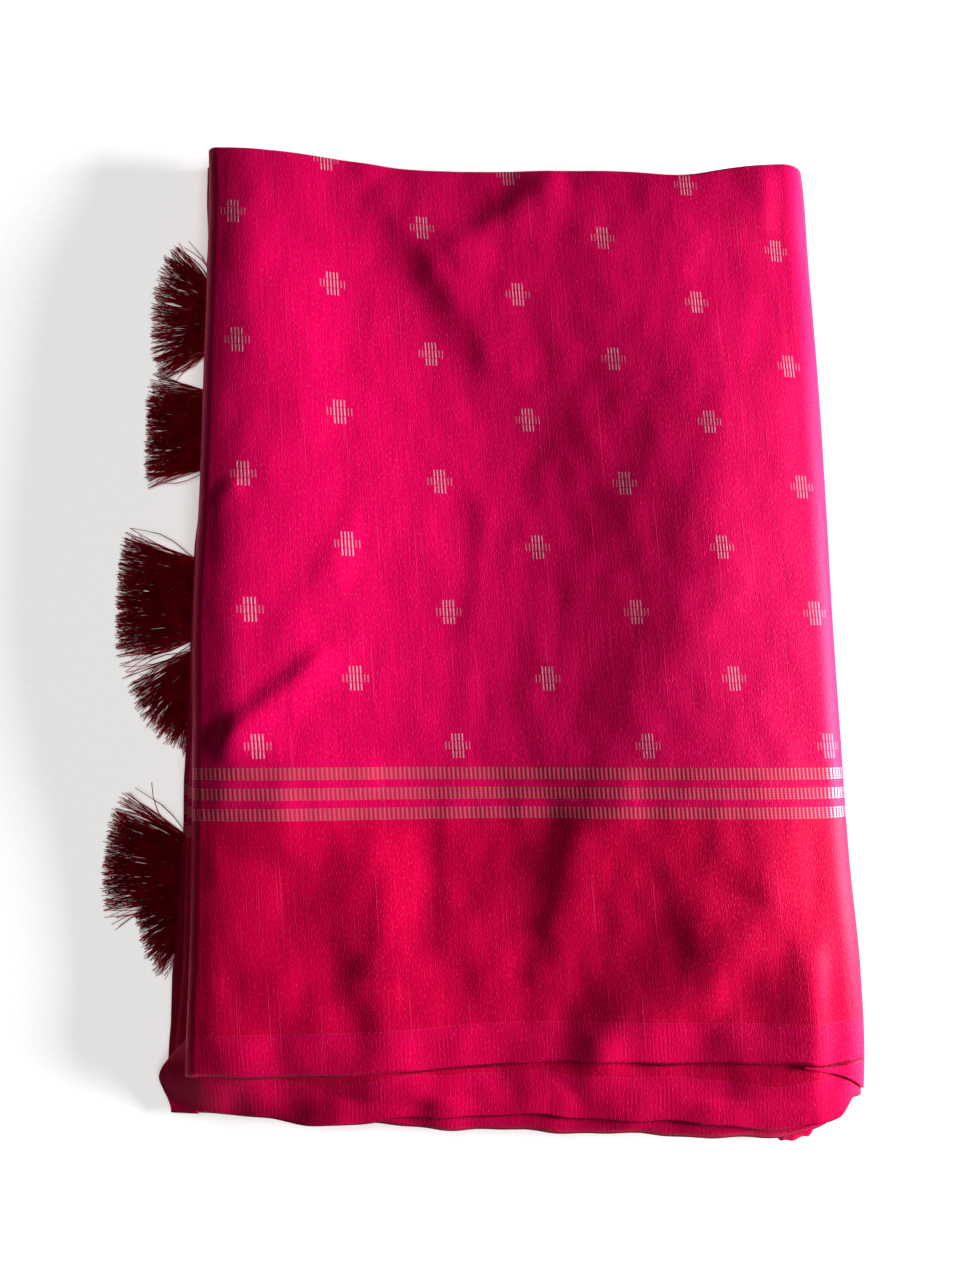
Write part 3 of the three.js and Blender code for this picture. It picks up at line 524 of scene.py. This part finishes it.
def twisted_thread():
    """Silk warp ends, hand twisted into tassels: dark red, slightly glossy, each strand of its own shade."""
    material, tree = new_material("silk thread, hand twisted")
    where = add(tree, "TexCoord")["Object"]
    strand = add(tree, "TexNoise", {"Vector": where, "Scale": 900.0, "Detail": 2.0})["Fac"]
    broad = add(tree, "TexNoise", {"Vector": where, "Scale": 90.0, "Detail": 1.0})["Fac"]
    shade = add(tree, "Math", {0: strand, 1: broad}, operation="MULTIPLY")[0]
    spread = add(tree, "MapRange", {0: shade, 1: 0.1, 2: 0.45, 3: 0.0, 4: 1.0})[0]
    colour = add(tree, "Mix", {"Factor": spread, 6: linear("#b80420"), 7: linear("#fa0c3c")},
                 data_type="RGBA")[2]
    bump = add(tree, "Bump", {"Height": strand, "Distance": 0.0003, "Strength": 0.6})[0]
    shader = add(tree, "BsdfPrincipled", {
        "Base Color": colour, "Roughness": 0.5, "Normal": bump, "Specular IOR Level": 0.25,
        "Specular Tint": linear("#ff5078"), "Sheen Weight": 0.05, "Sheen Roughness": 0.4,
        "Sheen Tint": linear("#e0204a")})[0]
    add(tree, "OutputMaterial", {0: shader})
    return material


silk = raw_silk_with_zari()
thread = twisted_thread()


# ---- making a piece ----

def finish_piece(name, bm, material, nodes, wall=0.0, inward=-1.0):
    """Turn a bmesh, in mm, into a piece that stands for its CAD nodes."""
    bmesh.ops.scale(bm, vec=(MM, MM, MM), verts=bm.verts)
    mesh = bpy.data.meshes.new(name)
    bm.to_mesh(mesh)
    bm.free()
    mesh.shade_smooth()
    mesh.materials.append(material)
    piece = bpy.data.objects.new(name, mesh)
    scene.collection.objects.link(piece)
    if wall:
        shell = piece.modifiers.new("thickness", "SOLIDIFY")
        shell.thickness = wall * MM
        shell.offset = inward
    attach(piece, "root")
    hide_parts(*nodes)
    return piece


def cloth(columns, rows, lay):
    """A grid of cloth, laid by a function of how far across and along it is, with the cloth's own measure."""
    bm = bmesh.new()
    measure = bm.loops.layers.uv.new("cloth")
    bmesh.ops.create_grid(bm, x_segments=columns, y_segments=rows, size=0.5)
    bm.verts.index_update()
    flat = np.array([vert.co[:2] for vert in bm.verts]) + 0.5
    points, marks = lay(flat[:, 0], flat[:, 1])
    for vert, point in zip(bm.verts, points):
        vert.co = point
    for face in bm.faces:
        for loop in face.loops:
            loop[measure].uv = marks[loop.vert.index] * MM
    return bm


def stack(*parts):
    return np.stack(np.broadcast_arrays(*parts), axis=1)


# ---- the top ply ----

def lay_top(s, t):
    # Close columns round the turns, wide ones on the flat, and a little that goes on between the layers.
    share = np.interp(s, (0, 0.03, 0.11, 0.88, 1), (-0.03, 0, LEFT_SHARE, RIGHT_SHARE, 1))
    at = edges_of(share)
    flat, rolled = BACK_FOLD["flat"], BACK_FOLD["rolled"]
    flat_y = mix(selvedge("first", at), EDGES["back"](at) - ROLL, np.clip(t / flat, 0, 1))
    roll = np.clip((t - flat) / (rolled - flat), 0, 1) * math.pi
    tucked = np.clip((t - rolled) / (1 - rolled), 0, 1) * BACK_FOLD["under"]
    y = flat_y + ROLL * np.sin(roll) - tucked
    depth = ROLL * (1 - np.cos(roll)) * BACK_FOLD["round"]
    x, z, spread = girth_point(share, y, depth)
    along, inward = top_cloth_measure(spread, flat_y)
    inward = inward + ROLL * roll + tucked
    return stack(x, y, z), stack(along, inward)


top_cloth = finish_piece("top_cloth", cloth(196, 216, lay_top), silk, ["top_ply"], WALL)


# ---- the second ply, its ear, and the third ply under it ----

def lay_second(s, t):
    share = np.interp(s, (0, 0.14, 0.86, 1), (0, LEFT_SHARE, RIGHT_SHARE, 1))
    at = edges_of(share)
    first, second = EDGES["first"](at), selvedge("second", at)
    shown, hidden_from = SECOND["shown"], first - SECOND["ahead"]
    y = np.where(t < shown, mix(second, hidden_from, t / shown),
                 mix(hidden_from, first + SECOND["under"], (t - shown) / (1 - shown)))
    flare = mix(EAR["tip"], EAR["reach"], smooth(second, first, y))
    flare = flare * smooth(first + EAR["gone"], first - EAR["full"], y)
    x, z, spread = girth_point(share, y, PLY, flare)
    return stack(x, y, z), stack(spread + SHIFT["second"], y - second)


second_cloth = finish_piece("second_cloth", cloth(220, 26, lay_second), silk, ["second_ply"], WALL)


def lay_third(s, t):
    share = mix(LEFT_SHARE, RIGHT_SHARE, s)
    at = edges_of(share)
    third = selvedge("third", at)
    y = mix(third, EDGES["first"](at) + THIRD_UNDER, t)
    x, z, spread = girth_point(share, y, 2 * PLY)
    return stack(x, y, z), stack(spread + SHIFT["third"], y - third)


third_cloth = finish_piece("third_cloth", cloth(150, 16, lay_third), silk, ["third_ply"], WALL)


# ---- the corner of the last fold and the tuck under it ----

def lay_corner(s, t):
    share = mix(CORNER["from"], CORNER["to"], s)
    edge = EDGES["first"](edges_of(share)) - CORNER["clear"]
    long = mix(CORNER["least"], CORNER["most"], smooth(CORNER["from"], CORNER["full"], share))
    y = edge - long * (1 - t)
    x, z, spread = girth_point(share, y, 0.0)
    return stack(x, y, z), stack(spread, (y - edge) + CORNER["most"])


corner_cloth = finish_piece("corner_cloth", cloth(30, 10, lay_corner), silk, ["corner_flap"], WALL)


def lay_tuck(s, t):
    x = mix(TUCK["x0"], TUCK["x1"], s)
    y = EDGES["third"](x - TUCK["shift"]) + TUCK["behind"]
    # It stands out most in the middle, with small crumples, and its ends are drawn together.
    bulge = 0.45 + 0.55 * np.sin(math.pi * (0.2 + 0.6 * s)) + 0.06 * np.sin(s * 19) * np.sin(math.pi * t)
    close = mix(TUCK["narrow"], 1, smooth(1, 0.7, s) * smooth(0, 0.2, s))
    reach = (y - mix(TUCK["front0"], TUCK["front1"], s)) * bulge * close
    turn = math.pi * (0.5 - t)
    z = TUCK["floor"] + TUCK["high"] / 2 - TUCK["high"] / 2 * np.sin(turn) * close
    return stack(x, y - reach * np.cos(turn), z), stack(x, TUCK["long"] * t)


tuck_cloth = finish_piece("tuck_cloth", cloth(30, 20, lay_tuck), silk, ["corner_tuck"], WALL)


# ---- the length between: fourteen double plies, folded back and forth ----

# Its folded path, as the layer that each run lies in, counted down from the top. Runs go right and left in
# turn, the first one rightward. The top ply is layer 0 and the bottom ply layer 15.
RUNS = (7, 8, 11, 4, 3, 12, 13, 2, 5, 10, 9, 6, 1, 14)
LAYERS = len(RUNS)
RUN_STEPS, TURN_STEPS = 20, 7
# How far each run is short of the third selvedge, and of the fold at the back.
SELVEDGE_SHORT = (5, 8, 4, 7, 5, 9, 8, 5, 8, 4, 7, 3, 6, 10)
BACK_SHORT = (5, 4, 6, 3, 5, 4, 6, 4, 3, 6, 5, 4, 5, 7)
LOWER_SHORT = 3.5  # how far the lower ply of a run is short of its upper one
PILE_LOW, PILE_TOP = 1.6, 4.5  # the room left for the bottom ply and for the plies on top
LEFT_TURNS = {1: 5.0, 2: 3.2, 3: 1.4}  # by their upper layer, how far out the upper turns reach at the left
LEFT_OUT = {(12, 13): 13.5, (8, 11): 7.5, (9, 10): 5.5}  # how far the lower ones stand out past them in front
SWELL = {"back": 0.25, "from": 280, "over": 520}  # how much of that is left at the back, and where it grows
RIGHT_TURNS = {"least": 1.2, "inside": 4.6}  # the least reach of a right turn, and the last fold's own room
TURN_BACK = 12  # how much further out the table of edges is read round a right turn
INNER_WALL, LEAST_GAP = 0.28, 0.16  # the thickness of a hidden ply, and half the least space between two


def run_stations():
    """The stations of the folded path: the two runs and their layers that each one lies between.

    Then how far between them it is, the side of the turn (0 within a run), and how far across the pile.
    """
    stations = []
    for i, layer in enumerate(RUNS):
        rightward = i % 2 == 0
        for k in range(RUN_STEPS + 1):
            t = k / RUN_STEPS
            stations.append((i, i, layer, layer, 0.0, 0, t if rightward else 1 - t))
        if i + 1 < len(RUNS):
            for k in range(1, TURN_STEPS):
                side = 1 if rightward else -1
                stations.append((i, i + 1, layer, RUNS[i + 1], k / TURN_STEPS, side, (side + 1) / 2))
    return stations


STATIONS = run_stations()
ALONG_WIDTH = np.concatenate([np.linspace(0, 0.06, 5)[:-1], np.linspace(0.06, 0.94, 18)[:-1],
                              np.linspace(0.94, 1, 5)])
ROLL_TURNS = np.linspace(0.5, -0.5, 5)[1:-1] * math.pi


def layer_height(layer, room):
    return PILE_LOW + room * (LAYERS + 0.5 - layer) / LAYERS


def lay_inner(s, t):
    """Runs and turns of the double ply, with the fold across its width at the back."""
    station = np.rint(s * (len(STATIONS) - 1)).astype(int)
    rows = 2 * len(ALONG_WIDTH) + len(ROLL_TURNS)
    row = np.rint(t * (rows - 1)).astype(int)
    count = len(ALONG_WIDTH)
    rolling = np.clip(row - count, -1, len(ROLL_TURNS))
    turn_angle = np.concatenate([[0.5 * math.pi], ROLL_TURNS, [-0.5 * math.pi]])[rolling + 1]
    width_share = np.where(row < count, ALONG_WIDTH[np.clip(row, 0, count - 1)],
                           ALONG_WIDTH[np.clip(rows - 1 - row, 0, count - 1)])
    parts = np.array(STATIONS, float)
    i0, i1, layer0, layer1, between, side, across = (parts[station, k] for k in range(7))
    wave = np.sin(across * 23 + i0 * 1.7) * 1.1 + np.sin(across * 61 + i0 * 2.9) * 0.5
    short = mix(np.array(SELVEDGE_SHORT)[i0.astype(int)], np.array(SELVEDGE_SHORT)[i1.astype(int)], between)
    back_short = mix(np.array(BACK_SHORT)[i0.astype(int)], np.array(BACK_SHORT)[i1.astype(int)], between)
    at = mix(*TURNS_AT, across) + TURN_BACK * np.clip(side, 0, 1) * np.sin(between * math.pi)
    lower = row >= count + len(ROLL_TURNS)
    front = EDGES["third"](at) + short + wave + np.where(lower, LOWER_SHORT + wave, 0)
    back = EDGES["back"](at) - back_short - wave * 0.4
    y = mix(front, back, width_share)
    start, end = inner_left(y), inner_right(y)
    flat_x = mix(start, end, across)
    room = skin(flat_x, y) - PILE_TOP - PILE_LOW
    z0, z1 = layer_height(layer0, room), layer_height(layer1, room)
    middle, half = (z0 + z1) / 2, (z0 - z1) / 2
    swell = mix(SWELL["back"], 1, np.clip((SWELL["from"] - y) / SWELL["over"], 0, 1) ** 2)
    left_reach = np.zeros(y.shape)
    for upper, reach in LEFT_TURNS.items():
        left_reach = np.where((np.minimum(layer0, layer1) == upper) & (side < 0), reach, left_reach)
    for (upper, under), out in LEFT_OUT.items():
        ripple = 0.7 * np.sin(y / 19 + upper) + 0.4 * np.sin(y / 8.3 + under)
        reach = TURN_LEFT + out * swell + ripple
        left_reach = np.where((np.minimum(layer0, layer1) == upper) & (side < 0), reach, left_reach)
    widest = room * (LAYERS - 1) / LAYERS / 2
    right_reach = RIGHT_TURNS["least"] + (TURN_RIGHT - RIGHT_TURNS["inside"]) * np.abs(half) / widest
    reach = np.where(side < 0, left_reach, right_reach)
    angle = between * math.pi
    bend = np.where(side == 0, 0, np.sin(angle))
    x = flat_x + side * reach * bend
    z = np.where(side == 0, z0, middle + half * np.cos(angle))
    # Which way the ply's upper face looks: up on rightward runs, and round through the turns.
    rightward = i0 % 2 == 0
    up = np.where(rightward, 1.0, -1.0) * np.where(side == 0, 1.0, np.cos(angle))
    out = np.where(side == 0, 0.0, np.where(rightward, 1.0, -1.0) * np.sin(angle) * np.sign(half) * side)
    gap = np.maximum(room / LAYERS / 4, LEAST_GAP)
    offset = gap * np.sin(turn_angle)
    y = y + gap * np.cos(turn_angle)
    along = (station + 1) * RUN_LONG / (RUN_STEPS + TURN_STEPS)
    inward = width_share * WIDTH / 2
    return stack(x + out * offset, y, z + up * offset), stack(along, inward)


inner_rows = 2 * len(ALONG_WIDTH) + len(ROLL_TURNS) - 1
inner_length = finish_piece("inner_length", cloth(len(STATIONS) - 1, inner_rows, lay_inner), silk,
                            ["inner_layers", "end_piece"], INNER_WALL, 0.0)


# ---- the bottom ply, which the pile lies on ----

def lay_bottom(s, t):
    share = mix(LEFT_SHARE, RIGHT_SHARE, s)
    at = edges_of(share)
    y = mix(EDGES["third"](at) + BOTTOM["front"] + np.sin(at / 15), EDGES["back"](at) - BOTTOM["back"], t)
    x = mix(inner_left(y) + BOTTOM["left"], inner_right(y) - BOTTOM["right"], s)
    return stack(x, y, np.full(x.shape, BOTTOM["high"])), stack(at + SHIFT["bottom"], y - SELVEDGE_Y)


bottom_cloth = finish_piece("bottom_cloth", cloth(60, 80, lay_bottom), silk, ["bottom_ply"], WALL)


# ---- tassels ----

# From back to front: the middle of the root, its half width, the fan's first and last angle in degrees from
# -X towards -Y, the longest threads, and how many there are.
TASSELS = (
    ("tassel_1", 200, 16, -48, 30, 44, 330),
    ("tassel_2", 130, 23, -7, 10, 45, 420),
    ("tassel_3", 25, 22, -14, 9, 58, 480),
    ("tassel_4", -9, 7, 30, 80, 56, 320),
    ("tassel_5", -139, 13, -26, 8, 62, 380),
    ("tassel_6", -157, 10, 10, 52, 44, 300),
)
ROOT = {"in": 4.1, "high": 2.6, "spread": 1}  # where the threads leave the cloth, in from the left edge
# A thread's radius and that of its tip, how many spans it is drawn in, how high they pile up on the floor,
# how much shorter the short ones are, and how far in degrees they turn aside, curl and sway.
THREAD = {"radius": 0.28, "tip": 0.18, "spans": 6, "pile": 3.4, "shorter": 0.16,
          "aside": 6, "curl": 13, "sway": 7}
# The wrapped head that the threads come out of: half its size each way, its height, and its shallow wraps.
HEAD = {"long": 3.4, "widest": 9, "thick": 2.0, "high": 2.7, "wraps": 14, "groove": 0.06}


def thread_path(rng, y, angle, long):
    """One loose thread: it leaves the root level, falls to the floor, and lies there in a slack curve."""
    x = float(PILE["left"](y)) + ROOT["in"] + rng.uniform(-ROOT["spread"], ROOT["spread"])
    z = ROOT["high"] + rng.uniform(-1.2, 1.4)
    rest = THREAD["radius"] + 0.1 + THREAD["pile"] * rng.random() ** 1.5
    heading = math.radians(angle)
    curl = math.radians(rng.gauss(0, THREAD["curl"]))
    sway = math.radians(rng.gauss(0, THREAD["sway"]))
    points = []
    step = long / THREAD["spans"]
    for k in range(THREAD["spans"] + 1):
        t = k / THREAD["spans"]
        points.append((x, y, mix(z, rest, float(smooth(0, 0.7, t)))))
        way = heading + curl * t * t + sway * math.sin(6 * t)
        x, y = x - step * math.cos(way), y - step * math.sin(way)
    return points


def tassel(name, y, half, first, last, long, count):
    rng = random.Random(name)
    curve = bpy.data.curves.new(name, "CURVE")
    curve.dimensions = "3D"
    curve.bevel_depth = THREAD["radius"] * MM
    curve.bevel_resolution = 0
    curve.use_fill_caps = True
    for k in range(count):
        t = (k + rng.random()) / count
        root_y = y + half * (1 - 2 * t) + rng.uniform(-2, 2)
        angle = mix(first, last, t) + rng.gauss(0, THREAD["aside"])
        reach = long * (1 - THREAD["shorter"] * rng.random() ** 2)
        points = thread_path(rng, root_y, angle, reach)
        spline = curve.splines.new("POLY")
        spline.points.add(len(points) - 1)
        for place, point in zip(spline.points, points):
            place.co = (*(MM * value for value in point), 1)
        for place in spline.points[-2:]:
            place.radius = THREAD["tip"] / THREAD["radius"]
    lines = bpy.data.objects.new(name + "_lines", curve)
    mesh = bpy.data.meshes.new_from_object(lines)
    bpy.data.objects.remove(lines)
    bm = bmesh.new()
    bm.from_mesh(mesh)
    bpy.data.meshes.remove(mesh)
    bmesh.ops.scale(bm, vec=(1 / MM, 1 / MM, 1 / MM), verts=bm.verts)
    head = bmesh.ops.create_uvsphere(bm, u_segments=24, v_segments=18, radius=1)["verts"]
    x = float(PILE["left"](y)) + ROOT["in"]
    wide = min(half, HEAD["widest"])
    for vert in head:
        wraps = 1 + HEAD["groove"] * math.cos(vert.co.z * HEAD["wraps"])
        vert.co = (x + vert.co.z * HEAD["long"], y + vert.co.x * wide * wraps,
                   HEAD["high"] + vert.co.y * HEAD["thick"] * wraps)
    return finish_piece(name + "_threads", bm, thread, [name])


for row in TASSELS:
    tassel(*row)


# ---- stage, light and camera ----

FLOOR_BELOW = 0.0004  # metres, so that the cloth doesn't lie in the floor's own plane


def pale_floor():
    bm = bmesh.new()
    bmesh.ops.create_grid(bm, x_segments=1, y_segments=1, size=3)
    mesh = bpy.data.meshes.new("floor")
    bm.to_mesh(mesh)
    bm.free()
    floor = bpy.data.objects.new("floor", mesh)
    floor.location.z = -FLOOR_BELOW
    scene.collection.objects.link(floor)
    material, tree = new_material("matt paper")
    tooth = add(tree, "TexNoise", {"Vector": add(tree, "TexCoord")["Object"], "Scale": 300.0})["Fac"]
    tone = add(tree, "Mix", {"Factor": tooth, 6: linear("#ebebea"), 7: linear("#f1f1f0")},
               data_type="RGBA")[2]
    paper = add(tree, "BsdfPrincipled", {"Base Color": tone, "Roughness": 0.9, "Specular IOR Level": 0.1})[0]
    add(tree, "OutputMaterial", {0: paper})
    mesh.materials.append(material)
    return floor


def area_light(name, target, azimuth, elevation, distance, wide, high, power):
    """A soft box that faces a target from an azimuth (from +X towards +Y) and an elevation, in degrees."""
    light = bpy.data.lights.new(name, "AREA")
    light.shape = "RECTANGLE"
    light.size, light.size_y = wide, high
    light.energy = power
    lamp = bpy.data.objects.new(name, light)
    a, e = math.radians(azimuth), math.radians(elevation)
    away = Vector((math.cos(e) * math.cos(a), math.cos(e) * math.sin(a), math.sin(e)))
    lamp.location = Vector(target) + distance * away
    lamp.rotation_euler = away.to_track_quat("Z", "Y").to_euler()
    scene.collection.objects.link(lamp)
    return lamp


# A strong key from low on the right rakes across the weave, with hardly any fill. The floor has a light of
# its own.
PILE_MIDDLE = (0, 0, 0.015)
floor = pale_floor()
area_light("key", PILE_MIDDLE, azimuth=0, elevation=11.5, distance=2.6, wide=1.0, high=0.5, power=235)
area_light("fill", PILE_MIDDLE, azimuth=200, elevation=60, distance=2.0, wide=1.6, high=1.6, power=0.7)
floor_wash = area_light("floor wash", (0, 0, 0), azimuth=0, elevation=89, distance=2.2, wide=2.4, high=2.4,
                        power=56)
only_floor = bpy.data.collections.new("floor only")
only_floor.objects.link(floor)
floor_wash.light_linking.receiver_collection = only_floor

world = bpy.data.worlds.new("studio")
world.use_nodes = True
background = world.node_tree.nodes["Background"].inputs
background["Color"].default_value = linear("#f4f4f6")
background["Strength"].default_value = 0.045
scene.world = world

scene.view_settings.view_transform = "Standard"
TILT = math.radians(3.0)  # the camera looks almost straight down, from a little in front
AIM = Vector((-0.0192, 0.0, 0.015))
DISTANCE = 0.683
camera_data = bpy.data.cameras.new("camera")
camera_data.sensor_fit = "VERTICAL"
camera_data.sensor_height = 36.0
camera_data.lens = 32.0
camera = bpy.data.objects.new("camera", camera_data)
camera.location = AIM + DISTANCE * Vector((0, -math.sin(TILT), math.cos(TILT)))
camera.rotation_euler = (TILT, 0, 0)
scene.collection.objects.link(camera)
scene.camera = camera
